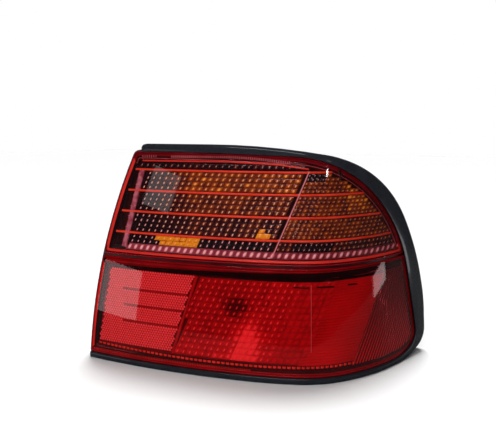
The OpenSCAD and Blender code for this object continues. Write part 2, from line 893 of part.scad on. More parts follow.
// Gasket round the back face, studs in their bosses, caps on the vents
module gasket_region(g) {
    intersection() {
        bucket_outline(gasket_edge + g);
        polygon([[-far, 0], [bucket_x1 - gasket_edge - g, 0], [bucket_x1 - gasket_edge - g, gasket_turn_z],
                 [gasket_top_x - g, bucket_z1], [-far, bucket_z1]]);
    }
}
module body_gasket() {
    color([0.12, 0.12, 0.12])
        placed()
            difference() {
                along_y(back_y, back_y + gasket_t)
                    difference() {
                        gasket_region(0);
                        gasket_region(gasket_w);
                    }
                at_studs()
                    forward([0, 0], back_y - 1) cylinder(r = stud_collar_r + holder_gap, h = gasket_t + 2, $fn = round_fn);
                at_vents()
                    forward([0, 0], back_y - 1)
                        cylinder(r = vent_r + vent_cap_wall + holder_gap, h = gasket_t + 2, $fn = round_fn);
                forward(side[0], back_y - 1) cylinder(r = holder_flange_r + 1, h = gasket_t + 2, $fn = round_fn);
            }
}
module mounting_studs() {
    color([0.75, 0.76, 0.78])
        placed()
            at_studs() {
                forward([0, 0], floor_y - stud_grip) cylinder(r = stud_shank_r, h = stud_grip + wall, $fn = round_fn);
                forward([0, 0], back_y) cylinder(r = stud_collar_r, h = stud_collar_t, $fn = round_fn);
                forward([0, 0], back_y + stud_collar_t) cylinder(r = stud_r, h = stud_len, $fn = round_fn);
            }
}
module vent_caps() {
    color([0.08, 0.08, 0.08])
        placed()
            at_vents()
                forward([0, 0], back_y + 1)
                    difference() {
                        cylinder(r = vent_r + vent_cap_wall, h = vent_len + 1, $fn = round_fn);
                        translate([0, 0, -1]) cylinder(r = vent_r, h = vent_len, $fn = round_fn);
                    }
}
trim_frame();
upper_lens();
lower_lens();
seam_seal();
amber_filter();
reflex_plate();
housing();
upper_lens_bead();
lower_lens_bead();
turn_reflector();
stop_reflector();
side_reflector();
turn_bulb_glass();
stop_bulb_glass();
side_bulb_glass();
turn_bulb_cap();
stop_bulb_cap();
side_bulb_cap();
bulb_filaments();
turn_holder();
stop_holder();
side_holder();
turn_holder_seal();
stop_holder_seal();
side_holder_seal();
holder_terminals();
body_gasket();
mounting_studs();
vent_caps();
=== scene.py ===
import math

import bmesh
import bpy
import numpy as np
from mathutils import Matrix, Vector


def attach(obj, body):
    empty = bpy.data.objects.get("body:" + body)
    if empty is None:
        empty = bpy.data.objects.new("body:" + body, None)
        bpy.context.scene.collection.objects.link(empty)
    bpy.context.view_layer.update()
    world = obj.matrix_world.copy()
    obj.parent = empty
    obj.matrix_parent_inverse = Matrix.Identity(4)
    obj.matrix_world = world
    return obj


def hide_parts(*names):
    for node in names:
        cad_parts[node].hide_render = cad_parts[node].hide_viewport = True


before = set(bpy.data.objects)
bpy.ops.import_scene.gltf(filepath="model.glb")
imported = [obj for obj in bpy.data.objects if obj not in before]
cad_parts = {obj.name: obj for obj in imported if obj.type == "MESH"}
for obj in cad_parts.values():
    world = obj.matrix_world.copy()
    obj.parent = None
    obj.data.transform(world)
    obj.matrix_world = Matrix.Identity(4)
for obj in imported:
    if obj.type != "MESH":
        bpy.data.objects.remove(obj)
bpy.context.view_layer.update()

# Shape of the lamp in millimetres: u to the right along the draw, z up, t behind the face
MM = 0.001
TURN = math.radians(35)
SHIFT_X, SHIFT_Y = 59.826, -101.738
LAMP_H = 226.5
OUTBOARD_U = 195.8
INBOARD_U = -168.8
INBOARD_R = 677.0
INBOARD_LEAN = math.radians(3.3)
STRIP_START_U = -114.5
BAND_TOP, BAND_SIDE, BAND_FOOT = 8.0, 14.8, 6.2
SEAM_Z, SEAM_GAP = 109.5, 2.4
LENS_TOP = LAMP_H - BAND_TOP
LENS_FOOT = BAND_FOOT
LENS_RIGHT = OUTBOARD_U - BAND_SIDE
UPPER_FOOT = SEAM_Z + SEAM_GAP / 2
LOWER_TOP = SEAM_Z - SEAM_GAP / 2
BARREL_R = 750.0
AXIS_W = BARREL_R * math.cos(math.radians(5))
AXIS_Z = -BARREL_R * math.sin(math.radians(5))
PLAN_START = np.array([-195.1, 114.7])
PLAN_HEAD = -38.0
PLAN_ARCS = [(640, 20), (235, 11), (75, 36.3), (185, 21.7), (900, 9)]
TRIM_ARCS = [(680, 10), (122, 54.5), (270, 24.5), (18.5, 62), (69, 29)]
LENS_ARCS = [(2900, 2.8), (124, 44.3), (156, 33.2), (18, 77), (53, 22.7)]
STRAIGHT_AT = 3
END_Y = 221.96
LENS_INSET = 2.5
LENS_BACK = 5.5
SKIRT_T = 2.8
SKIRT_DEPTH = 12.0
EDGE_R = 0.9
OPTIC_T = 5.7
SHARP = 50


def plan_curve(t):
    p, a = PLAN_START.copy(), math.radians(PLAN_HEAD)
    us, ws = [], []
    for r, turn in PLAN_ARCS:
        c = p + r * np.array([-math.sin(a), math.cos(a)])
        b = a + math.radians(turn)
        k = np.linspace(a, b, 120)
        us.append(c[0] + (r - t) * np.sin(k))
        ws.append(c[1] - (r - t) * np.cos(k))
        p, a = c + r * np.array([math.sin(b), -math.cos(b)]), b
    return np.concatenate(us), np.concatenate(ws)


PLANS = {}


def depth(u, z, t):
    key = round(float(t), 2)
    if key not in PLANS:
        PLANS[key] = plan_curve(key)
    us, ws = PLANS[key]
    r = BARREL_R - np.interp(u, us, ws)
    return AXIS_W - np.sqrt(r * r - (z - AXIS_Z) ** 2)


def place(u, z, t):
    u, z, t = np.broadcast_arrays(np.asarray(u, float), np.asarray(z, float), np.asarray(t, float))
    w = np.empty(u.shape)
    for key in np.unique(np.round(t, 2)):
        m = np.round(t, 2) == key
        w[m] = depth(u[m], z[m], key)
    x = u * math.cos(TURN) - w * math.sin(TURN) + SHIFT_X
    y = u * math.sin(TURN) + w * math.cos(TURN) + SHIFT_Y
    return np.stack([x, y, z], -1) * MM


# Outlines, as in the source
def round_side(arcs, top, foot, right, g):
    turned = np.concatenate([[0], np.cumsum([a for _, a in arcs])])
    runs = []
    for i, (r, _) in enumerate(arcs):
        a, b = np.radians(turned[i]), np.radians(turned[i + 1])
        runs.append(r * np.array([math.sin(b) - math.sin(a), math.cos(b) - math.cos(a)]))
    total = np.sum(runs, 0)
    sa = math.radians(turned[STRAIGHT_AT])
    side = (top - foot + total[1]) / math.sin(sa) * np.array([math.cos(sa), -math.sin(sa)])
    reach = sum(runs[:STRAIGHT_AT])[0] + side[0] + arcs[STRAIGHT_AT][0] * (1 - math.sin(sa))
    out = []
    for i, (r, turn) in enumerate(arcs):
        start = np.array([right - reach, top]) + (np.sum(runs[:i], 0) if i else 0)
        if i >= STRAIGHT_AT:
            start = start + side
        a = math.radians(turned[i])
        c = start - r * np.array([math.sin(a), math.cos(a)])
        for k in np.linspace(a, math.radians(turned[i + 1]), max(int(turn / 1.5), 3)):
            out.append(c + (r - g) * np.array([math.sin(k), math.cos(k)]))
    return np.array(out)


INBOARD_C = np.array([INBOARD_U + INBOARD_R * math.cos(INBOARD_LEAN),
                      LENS_FOOT - INBOARD_R * math.sin(INBOARD_LEAN)])


def edge_angle(z, r):
    return math.asin((z - INBOARD_C[1]) / r)


def edge_point(z, r):
    a = edge_angle(z, r)
    return INBOARD_C + r * np.array([-math.cos(a), math.sin(a)])


def arc(middle, r, start, end, n=9):
    return [middle + r * np.array([-math.cos(a), math.sin(a)]) for a in np.linspace(start, end, n)]


def inboard_edge(z0, z1, c0, c1, g):
    r = INBOARD_R - g
    a0, a1 = edge_angle(z0 + c0, r - c0), edge_angle(z1 - c1, r - c1)
    lo, hi = edge_point(z0 + c0, r - c0), edge_point(z1 - c1, r - c1)
    mid = arc(INBOARD_C, r, a0, a1, 40)[1:-1]
    return np.array(arc(lo, c0, -math.pi / 2, a0) + mid + arc(hi, c1, a1, math.pi / 2))


def cut_below(points, z):
    for i in range(len(points) - 1):
        if points[i][1] >= z > points[i + 1][1]:
            f = (points[i][1] - z) / (points[i][1] - points[i + 1][1])
            cut = points[i] + f * (points[i + 1] - points[i])
            return np.vstack([points[:i + 1], cut]), np.vstack([cut, points[i + 1:]])
    return points, points[-1:]


def spread(points, n):
    d = np.concatenate([[0], np.cumsum(np.linalg.norm(np.diff(points, axis=0), axis=1))])
    s = np.linspace(0, d[-1], n)
    return np.stack([np.interp(s, d, points[:, 0]), np.interp(s, d, points[:, 1])], -1)


# Faces between the rows of a grid of points, closed into a ring where asked
def grid_faces(rows, cols, ring=False):
    last = rows if ring else rows - 1
    faces = []
    for i in range(last):
        a, b = i * cols, (i + 1) % rows * cols
        faces += [(a + j, a + j + 1, b + j + 1, b + j) for j in range(cols - 1)]
    return faces


def upper_outline(g, n=(60, 160, 110)):
    left = inboard_edge(UPPER_FOOT + g, LENS_TOP - g, max(4 - g, 1), max(6 - g, 1), g)
    side, _ = cut_below(round_side(LENS_ARCS, LENS_TOP, LENS_FOOT, LENS_RIGHT, g), UPPER_FOOT + g)
    side = np.vstack([left[-1:], side])
    foot = np.array([side[-1], left[0]])
    return np.vstack([spread(run, k)[:-1] for run, k in zip((left, side, foot), n)])


def lower_outline(g, n=(60, 110, 110, 110)):
    left = inboard_edge(LENS_FOOT + g, LOWER_TOP - g, 1, max(4 - g, 1), g)
    _, side = cut_below(round_side(LENS_ARCS, LENS_TOP, LENS_FOOT, LENS_RIGHT, g), LOWER_TOP - g)
    head = np.array([left[-1], side[0]])
    foot = np.array([side[-1], left[0]])
    return np.vstack([spread(run, k)[:-1] for run, k in zip((left, head, side, foot), n)])


# Materials
def node_mat(name, color, rough, metallic=0.0, coat=0.0, spec=0.5):
    mat = bpy.data.materials.new(name)
    mat.use_nodes = True
    b = mat.node_tree.nodes["Principled BSDF"]
    b.inputs["Base Color"].default_value = (*color, 1)
    b.inputs["Roughness"].default_value = rough
    b.inputs["Metallic"].default_value = metallic
    b.inputs["Coat Weight"].default_value = coat
    b.inputs["Coat Roughness"].default_value = 0.04
    b.inputs["Specular IOR Level"].default_value = spec
    return mat, mat.node_tree, b


def speckle(nt, b, color, other, scale, lo, hi):
    tex = nt.nodes.new("ShaderNodeTexNoise")
    tex.inputs["Scale"].default_value = scale
    tex.inputs["Detail"].default_value = 4
    co = nt.nodes.new("ShaderNodeTexCoord")
    nt.links.new(co.outputs["Object"], tex.inputs["Vector"])
    ramp = nt.nodes.new("ShaderNodeValToRGB")
    ramp.color_ramp.elements[0].position = lo
    ramp.color_ramp.elements[0].color = (*color, 1)
    ramp.color_ramp.elements[1].position = hi
    ramp.color_ramp.elements[1].color = (*other, 1)
    nt.links.new(tex.outputs["Fac"], ramp.inputs["Fac"])
    nt.links.new(ramp.outputs["Color"], b.inputs["Base Color"])
    return ramp


def mottled(name, color, other, rough, scale=40.0, coat=0.0, metallic=0.0):
    mat, nt, b = node_mat(name, color, rough, metallic, coat)
    speckle(nt, b, color, other, scale, 0.35, 0.65)
    return mat


def lens_mat(name, tint, shadow, ior=1.49):
    mat, nt, b = node_mat(name, tint, 0.02)
    b.inputs["Transmission Weight"].default_value = 1
    b.inputs["IOR"].default_value = ior
    path = nt.nodes.new("ShaderNodeLightPath")
    clear = nt.nodes.new("ShaderNodeBsdfTransparent")
    clear.inputs["Color"].default_value = (*shadow, 1)
    mix = nt.nodes.new("ShaderNodeMixShader")
    out = nt.nodes["Material Output"]
    nt.links.new(path.outputs["Is Shadow Ray"], mix.inputs["Fac"])
    nt.links.new(b.outputs[0], mix.inputs[1])
    nt.links.new(clear.outputs[0], mix.inputs[2])
    nt.links.new(mix.outputs[0], out.inputs["Surface"])
    return mat


# Black trim, tinted slightly blue as painted reflection of the blue-grey sheen on it
TRIM_MAT = mottled("trim_black", (0.012, 0.013, 0.017), (0.016, 0.018, 0.023), 0.20, coat=0.5)
UPPER_LENS = lens_mat("lens_upper", (0.97, 0.78, 0.78), (0.97, 0.85, 0.85))
LOWER_LENS = lens_mat("lens_lower", (0.95, 0.30, 0.34), (0.97, 0.5, 0.5))
HOUSING = mottled("housing_black", (0.012, 0.010, 0.012), (0.02, 0.014, 0.016), 0.35)
RUBBER = mottled("rubber_black", (0.02, 0.02, 0.02), (0.03, 0.03, 0.03), 0.6)
SEAM = mottled("seam_dark", (0.03, 0.002, 0.003), (0.05, 0.003, 0.004), 0.3)
HOLDER = mottled("holder_grey", (0.035, 0.035, 0.04), (0.05, 0.05, 0.055), 0.45)
FOAM = mottled("foam_black", (0.015, 0.015, 0.015), (0.035, 0.035, 0.035), 0.95, scale=900.0)
SEALANT = mottled("sealant_dark", (0.04, 0.01, 0.012), (0.06, 0.015, 0.018), 0.5)
STEEL = mottled("stud_zinc", (0.55, 0.55, 0.52), (0.65, 0.64, 0.58), 0.35, metallic=1)
BRASS = mottled("terminal_brass", (0.7, 0.52, 0.22), (0.6, 0.42, 0.16), 0.3, metallic=1)
MIRROR = mottled("reflector_bright", (0.82, 0.83, 0.85), (0.86, 0.87, 0.88), 0.08, metallic=1)
GLASS = lens_mat("bulb_clear", (0.97, 0.98, 0.98), (0.97, 0.98, 0.98), 1.3)
AMBER = lens_mat("amber_clear", (0.95, 0.42, 0.02), (0.95, 0.5, 0.1))
REFLEX_BACK = mottled("reflex_back", (0.35, 0.01, 0.015), (0.25, 0.008, 0.012), 0.3)

CAD_MATS = {
    "trim_frame": TRIM_MAT, "upper_lens": UPPER_LENS, "lower_lens": LOWER_LENS, "seam_seal": SEAM,
    "amber_filter": AMBER, "reflex_plate": REFLEX_BACK, "housing": HOUSING, "upper_lens_bead": SEALANT,
    "lower_lens_bead": SEALANT, "turn_reflector": MIRROR, "stop_reflector": MIRROR, "side_reflector": MIRROR,
    "turn_bulb_glass": GLASS, "stop_bulb_glass": GLASS, "side_bulb_glass": GLASS, "turn_bulb_cap": BRASS,
    "stop_bulb_cap": BRASS, "side_bulb_cap": BRASS, "bulb_filaments": STEEL, "turn_holder": HOLDER,
    "stop_holder": HOLDER, "side_holder": HOLDER, "turn_holder_seal": RUBBER, "stop_holder_seal": RUBBER,
    "side_holder_seal": RUBBER, "holder_terminals": BRASS, "body_gasket": FOAM, "mounting_studs": STEEL,
    "vent_caps": RUBBER,
}
for name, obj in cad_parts.items():
    obj.data.materials.clear()
    obj.data.materials.append(CAD_MATS[name])


def piece(name, verts, faces, mat, smooth=True, attr=None):
    me = bpy.data.meshes.new(name)
    me.from_pydata([tuple(v) for v in verts], [], [tuple(f) for f in faces])
    for key, values in (attr or {}).items():
        me.attributes.new(key, "FLOAT", "POINT").data.foreach_set("value", np.asarray(values, np.float32))
    me.materials.append(mat)
    bm = bmesh.new()
    bm.from_mesh(me)
    bmesh.ops.recalc_face_normals(bm, faces=bm.faces)
    bm.to_mesh(me)
    bm.free()
    if smooth:
        me.polygons.foreach_set("use_smooth", np.ones(len(me.polygons), bool))
        me.set_sharp_from_angle(angle=math.radians(SHARP))
    me.update()
    ob = bpy.data.objects.new(name, me)
    bpy.context.scene.collection.objects.link(ob)
    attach(ob, "root")
    return ob


# A band along a path: each profile point is an inset and a depth
def swept_band(path, profile, closed_path):
    rows = []
    for g, t in profile:
        p = path(g)
        rows.append(place(p[:, 0], p[:, 1], t))
    rows = np.array(rows)
    m, n = rows.shape[:2]
    faces = []
    last = n if closed_path else n - 1
    for i in range(m):
        j = (i + 1) % m
        for k in range(last):
            l = (k + 1) % n
            faces.append((i * n + k, i * n + l, j * n + l, j * n + k))
    if not closed_path:
        faces.append(tuple(i * n for i in range(m)))
        faces.append(tuple(i * n + n - 1 for i in reversed(range(m))))
    return rows.reshape(-1, 3), faces


def inside(poly, p):
    x, y = p[..., 0], p[..., 1]
    res = np.zeros(x.shape, bool)
    j = len(poly) - 1
    for i in range(len(poly)):
        xi, yi, xj, yj = *poly[i], *poly[j]
        if yi != yj:
            hit = ((yi > y) != (yj > y)) & (x < (xj - xi) * (y - yi) / (yj - yi) + xi)
            res ^= hit
        j = i
    return res


def place_free(U, Z, T):
    base = place(U, Z, 0.0)
    deep = place(U, Z, 10.0)
    return base + (deep - base) * (np.asarray(T) / 10.0)[:, None]


def attribute(nt, name):
    node = nt.nodes.new("ShaderNodeAttribute")
    node.attribute_name = name
    return node.outputs["Fac"]


def ramp_of(nt, stops):
    node = nt.nodes.new("ShaderNodeValToRGB")
    while len(node.color_ramp.elements) < len(stops):
        node.color_ramp.elements.new(0.5)
    for e, (pos, col) in zip(node.color_ramp.elements, stops):
        e.position = pos
        e.color = (*col, 1)
    return node


# Moulded optics: the tone of each cell picks its colour, and a painted highlight, a bright colour blended in at
# the centre of each cell, stands for the light seen through it
def optic_mat(name, stops, highlight_stops, painted_highlight=(0.55, 0.9), rough=0.25, noise=260.0, grain=0.35):
    mat, nt, b = node_mat(name, stops[0][1], rough, coat=0.4)
    co = nt.nodes.new("ShaderNodeTexCoord")
    tex = nt.nodes.new("ShaderNodeTexNoise")
    tex.inputs["Scale"].default_value = noise
    tex.inputs["Detail"].default_value = 2
    nt.links.new(co.outputs["Object"], tex.inputs["Vector"])
    jit = nt.nodes.new("ShaderNodeMath")
    jit.operation = "MULTIPLY_ADD"
    jit.inputs[1].default_value = grain
    nt.links.new(tex.outputs["Fac"], jit.inputs[0])
    tone = attribute(nt, "tone")
    nt.links.new(tone, jit.inputs[2])
    ramp, highlight_colours = ramp_of(nt, stops), ramp_of(nt, highlight_stops)
    nt.links.new(jit.outputs[0], ramp.inputs["Fac"])
    nt.links.new(jit.outputs[0], highlight_colours.inputs["Fac"])
    # painted highlight: bright colours blended into the centre of each cell
    highlight_mask = nt.nodes.new("ShaderNodeMapRange")
    highlight_mask.interpolation_type = "SMOOTHSTEP"
    highlight_mask.inputs["From Min"].default_value = painted_highlight[0]
    highlight_mask.inputs["From Max"].default_value = painted_highlight[1]
    nt.links.new(attribute(nt, "painted_highlight"), highlight_mask.inputs["Value"])
    mix = nt.nodes.new("ShaderNodeMix")
    mix.data_type = "RGBA"
    nt.links.new(highlight_mask.outputs["Result"], mix.inputs["Factor"])
    nt.links.new(ramp.outputs["Color"], mix.inputs["A"])
    nt.links.new(highlight_colours.outputs["Color"], mix.inputs["B"])
    nt.links.new(mix.outputs["Result"], b.inputs["Base Color"])
    return mat


# In each optic the first list runs from dark to bright with the tone, which carries painted glow and shade; the
# second list holds the colours of the painted highlights
UPPER_OPTIC = optic_mat("optic_upper", [
    (0.12, (0.006, 0.001, 0.003)), (0.42, (0.040, 0.003, 0.005)), (0.75, (0.20, 0.036, 0.002)),
    (1.0, (0.44, 0.115, 0.003)), (1.3, (0.85, 0.40, 0.012))],
    [(0.2, (1.0, 0.62, 0.66)), (0.5, (1.0, 0.80, 0.56)), (0.9, (1.0, 0.62, 0.20))])
LOWER_OPTIC = optic_mat("optic_lower", [
    (0.1, (0.06, 0.002, 0.004)), (0.5, (0.36, 0.010, 0.018)), (0.8, (0.56, 0.028, 0.040)),
    (1.2, (0.95, 0.18, 0.20))],
    [(0.2, (0.80, 0.14, 0.15)), (0.9, (1.0, 0.30, 0.26))])
REFLEX_RED = optic_mat("optic_reflex", [(0.1, (0.16, 0.006, 0.010)), (0.8, (0.42, 0.045, 0.055))],
                       [(0.2, (0.95, 0.30, 0.32)), (0.9, (1.0, 0.55, 0.56))], painted_highlight=(0.0, 0.7), noise=90.0)
FLUTE_RED = optic_mat("optic_flute", [(0.1, (0.03, 0.001, 0.002)), (0.9, (0.12, 0.002, 0.005))],
                      [(0.2, (0.75, 0.02, 0.03)), (0.9, (0.90, 0.05, 0.06))], painted_highlight=(0.35, 1.0), grain=0.5)
PLAIN_RED = optic_mat("optic_plain", [
    (0.1, (0.20, 0.004, 0.008)), (0.45, (0.46, 0.012, 0.020)), (0.9, (0.66, 0.022, 0.034))],
    [(0.2, (0.60, 0.03, 0.04)), (0.9, (0.65, 0.05, 0.05))], painted_highlight=(0.3, 1.0), noise=60.0)
RIB_RED = mottled("rib_red", (0.72, 0.040, 0.012), (0.85, 0.07, 0.03), 0.2, coat=0.5)
RIM_RED = mottled("rim_red", (0.20, 0.003, 0.008), (0.28, 0.005, 0.012), 0.12, coat=0.8)
SPLIT_RED = mottled("split_red", (0.30, 0.008, 0.014), (0.42, 0.014, 0.022), 0.2, coat=0.4)
# painted shade: near-black red for the grooves and dark bands in the lens rims
RIM_SHADE = mottled("rim_painted_shade", (0.030, 0.001, 0.003), (0.050, 0.002, 0.004), 0.12, coat=0.8)
RIM_LINE = mottled("rim_line", (0.50, 0.10, 0.11), (0.60, 0.14, 0.15), 0.15, coat=0.8)
# painted highlight: bright red for the lit bands along the lens edges
EDGE_HIGHLIGHT = mottled("rim_painted_highlight", (0.62, 0.030, 0.022), (0.72, 0.045, 0.03), 0.15, coat=0.8)
# painted shade: near black for the lens bevels and slots that read dark
BEVEL_SHADE = mottled("bevel_painted_shade", (0.004, 0.003, 0.006), (0.010, 0.005, 0.009), 0.18, coat=0.6)
CLEAR_LINE = mottled("clear_line", (0.70, 0.22, 0.26), (0.80, 0.32, 0.35), 0.2, coat=0.6)
LEFT_BAR = mottled("left_bar", (0.30, 0.05, 0.08), (0.60, 0.20, 0.26), 0.2, scale=160, coat=0.8)
# painted shade: dark colours for the sheets behind the optics
SHADE_BACK_UPPER = mottled("painted_shade_back_upper", (0.012, 0.001, 0.002), (0.03, 0.004, 0.003), 0.3)
SHADE_BACK_LOWER = mottled("painted_shade_back_lower", (0.10, 0.003, 0.005), (0.15, 0.004, 0.007), 0.3)
TOOTH_PINK = mottled("tooth_pink", (0.55, 0.12, 0.14), (0.70, 0.22, 0.24), 0.2, coat=0.7)
TOOTH = mottled("tooth_red", (0.60, 0.04, 0.02), (0.80, 0.09, 0.06), 0.2, coat=0.7)


def merged(groups):
    verts, faces, base = [], [], 0
    for v, f in groups:
        verts.append(v)
        faces += [tuple(base + i for i in q) for q in f]
        base += len(v)
    return np.vstack(verts), faces


# Rows of leaning domes on the back of a lens
SLANT = 0.45


def dome_field(window, bands, pitch, keep, tone, rise, n, stroke, jitter=0.12, seed=3, edge=0.35, fade=None):
    a, b = np.meshgrid(np.linspace(-1, 1, n[0] + 1), np.linspace(-1, 1, n[1] + 1), indexing="ij")
    dome = ((1 - a * a) * (1 - b * b)).ravel()
    # painted highlight: a bright point down the middle of each dome
    highlight_shape = (np.clip(1 - (a / stroke) ** 2, 0, 1) * (1 - b * b)).ravel()
    quads = grid_faces(n[0] + 1, n[1] + 1)
    rng = np.random.default_rng(seed)
    lo, hi = window.min(0), window.max(0)
    us, zs, painted_highlights, tones, ts, faces, base = [], [], [], [], [], [], 0
    for z0, z1, rows in bands:
        step = (z1 - z0) / rows
        for r in range(rows):
            zc = z0 + (r + 0.5) * step
            first = math.floor((lo[0] - SLANT * zc) / pitch) - 1
            last = math.ceil((hi[0] - SLANT * zc) / pitch) + 1
            for k in range(first, last):
                uc = (k + 0.5) * pitch + SLANT * zc
                shift = rng.uniform(-jitter, jitter)
                if not inside(window, np.array([[uc, zc]]))[0] or not keep(uc, zc):
                    continue
                z = (zc + b * step / 2).ravel()
                us.append((uc + a * pitch / 2).ravel() + SLANT * (z - zc))
                zs.append(z)
                painted_highlights.append(highlight_shape * (fade(uc, zc) if fade else 1.0))
                # painted shade: each dome is darker towards its rim, so the gaps between domes read dark
                tones.append(tone(uc, zc) + shift + edge * (dome - 0.6))
                ts.append(OPTIC_T + rise * (1 - dome))
                faces += [tuple(base + q for q in f) for f in quads]
                base += len(z)
    us, zs, painted_highlights, tones, ts = map(np.concatenate, (us, zs, painted_highlights, tones, ts))
    return place_free(us, zs, ts), faces, {"painted_highlight": painted_highlights, "tone": tones}


# Upper window: rows of domes between the ribs, coarse inboard of the slanted line and fine outboard
RIB_ZS = [134.0, 155.8, 177.6, 199.4]
LINE_LOW, LINE_HIGH = (23.3, 118.0), (60.3, 200.4)


def line_u(z):
    return LINE_LOW[0] + (z - LINE_LOW[1]) * (LINE_HIGH[0] - LINE_LOW[0]) / (LINE_HIGH[1] - LINE_LOW[1])


def left_u(z):
    return -122.1 + (z - 131.0) * 0.235


# Painted glow and shade of the coarse domes: the bands get lighter from the lowest, which stays dark, to the
# top, lighter outboard than inboard, with two small patches painted bright
def upper_glow_tone(u, z):
    if (-93 < u < -49 and 124 < z < 131) or (8 < u < 20 and 136 < z < 144):
        return 1.05
    level = 0.72 if z > 178 else 0.56 if z > 156.5 else 0.40 if z > 135 else 0.0
    return level * min(max((u + 118) / 62, 0.25), 1.0) - 0.08


# Painted glow and shade of the fine domes: lighter above the lowest band, near black in a patch at the foot and
# along the head, brighter in a patch far outboard
def fine_glow_tone(u, z):
    level = 0.62 if z > 135 else 0.42
    if z < 133 and 44 < u < 84:
        level = 0.02
    if z > 189 and u < 76:
        level = 0.02
    return level + (0.22 if 100 < u < 122 and z > 160 else 0.0) - 0.1


upper_window = upper_outline(9.5)
bands = [(123.6, 132.8, 2), (135.4, 154.6, 4), (157.2, 176.4, 4), (179.0, 198.2, 4)]
v, f, at = dome_field(upper_window, bands, 6.7, lambda u, z: left_u(z) < u < line_u(z) - 3,
                      upper_glow_tone, 1.0, (10, 6), 0.34)
piece("upper_pillow_optics", v, f, UPPER_OPTIC, attr=at)
bands = [(123.6, 132.8, 2), (135.4, 154.6, 5), (157.2, 176.4, 5), (179.0, 198.2, 5)]
v, f, at = dome_field(upper_window, bands, 5.0, lambda u, z: u > line_u(z) + 1.5, fine_glow_tone, 0.7, (8, 5), 0.5)
# weaker painted highlights on the fine domes
at["painted_highlight"] = at["painted_highlight"] * 0.80
piece("upper_fine_optics", v, f, UPPER_OPTIC, attr=at)
v, f, at = dome_field(upper_outline(5), [(201.6, 206.8, 1)], 6.7, lambda u, z: -114 < u < 56,
                      lambda u, z: 0.12, 0.9, (10, 6), 0.34)
at["painted_highlight"] = at["painted_highlight"] * 0.82
piece("upper_head_dashes", v, f, UPPER_OPTIC, attr=at)
v, f, at = dome_field(upper_outline(4.6), [(116.6, 123.2, 1)], 6.7, lambda u, z: -128 < u < 158,
                      lambda u, z: 0.45 - 0.0020 * (u + 60), 0.9, (10, 6), 0.62)
# the bright colours of this optic are painted highlights
DASH_PINK = optic_mat("optic_dash", [(0.0, (0.10, 0.006, 0.012)), (0.6, (0.34, 0.06, 0.09))],
                      [(0.1, (0.85, 0.24, 0.28)), (0.6, (1.0, 0.66, 0.70))], painted_highlight=(0.2, 0.9))
piece("upper_foot_dashes", v, f, DASH_PINK, attr=at)


def grid_sheet(window, step, t):
    lo, hi = window.min(0), window.max(0)
    us = np.arange(lo[0], hi[0] + step, step)
    zs = np.arange(lo[1], hi[1] + step, step)
    u, z = np.meshgrid(us, zs, indexing="ij")
    mid = np.stack([(u[:-1, :-1] + u[1:, 1:]) / 2, (z[:-1, :-1] + z[1:, 1:]) / 2], -1)
    keep = inside(window, mid)
    n = len(zs)
    cells = zip(*np.nonzero(keep))
    faces = [(i * n + j, i * n + j + 1, (i + 1) * n + j + 1, (i + 1) * n + j) for i, j in cells]
    used = sorted({q for f in faces for q in f})
    index = {q: k for k, q in enumerate(used)}
    pts = np.stack([u.ravel(), z.ravel()], -1)[used]
    return place(pts[:, 0], pts[:, 1], t), [tuple(index[q] for q in f) for f in faces]


# Dark sheets behind the optics: painted shade that shows between the domes
v, f = grid_sheet(upper_outline(8.6), 2.0, 8.6)
piece("upper_shade_back", v, f, SHADE_BACK_UPPER)
v, f = grid_sheet(lower_outline(8.6), 2.0, 7.6)
piece("lower_shade_back", v, f, SHADE_BACK_LOWER)


# A bar along a line on the lens, with a rounded front
def bar(line, half, t0, t1, n=60):
    p = spread(np.array(line, float), n)
    d = np.gradient(p, axis=0)
    d /= np.linalg.norm(d, axis=1)[:, None]
    side = np.stack([-d[:, 1], d[:, 0]], -1)
    rows = []
    for s, t in ((-1, t1), (-1, t0 + 0.35 * half), (-0.6, t0), (0.6, t0), (1, t0 + 0.35 * half), (1, t1)):
        q = p + side * half * s
        rows.append(place_free(q[:, 0], q[:, 1], np.full(n, t)))
    m = len(rows)
    faces = grid_faces(m, n, ring=True)
    faces += [tuple(i * n for i in range(m)), tuple(i * n + n - 1 for i in reversed(range(m)))]
    return np.vstack(rows), faces


# A rounded ribbon across the lens between two lines
def ribbon(low, high, t0, bulge, n=140, m=8):
    low, high = np.array(low, float), np.array(high, float)
    us = np.linspace(low[0, 0], low[-1, 0], n), np.linspace(high[0, 0], high[-1, 0], n)
    zs = np.interp(us[0], low[:, 0], low[:, 1]), np.interp(us[1], high[:, 0], high[:, 1])
    rows = []
    for k in np.linspace(0, 1, m):
        t = np.full(n, t0 - bulge * math.sin(math.pi * k))
        rows.append(place_free(us[0] + k * (us[1] - us[0]), zs[0] + k * (zs[1] - zs[0]), t))
    faces = grid_faces(m, n)
    return np.vstack(rows), faces


rib_path = upper_outline(9.0)
for k, z in enumerate(RIB_ZS):
    side = rib_path[np.abs(rib_path[:, 1] - z) < 2.2]
    u0, u1 = side[:, 0].min(), side[:, 0].max()
    v, f = bar([(u0, z), (u1, z)], 1.05, 5.42, 8.0, 160)
    piece(f"upper_rib_{k + 1}", v, f, RIB_RED)
v, f = bar([LINE_HIGH, LINE_LOW, (LINE_LOW[0] - 4, LINE_LOW[1] - 0.5)], 0.55, 5.3, 6.4, 90)
piece("upper_slant_line", v, f, CLEAR_LINE)
v, f = bar([(-112.0, 199), (-115.6, 184), (-127.6, 131), (-130.5, 119)], 2.9, 5.42, 8.0, 90)
piece("upper_left_bar", v, f, LEFT_BAR)

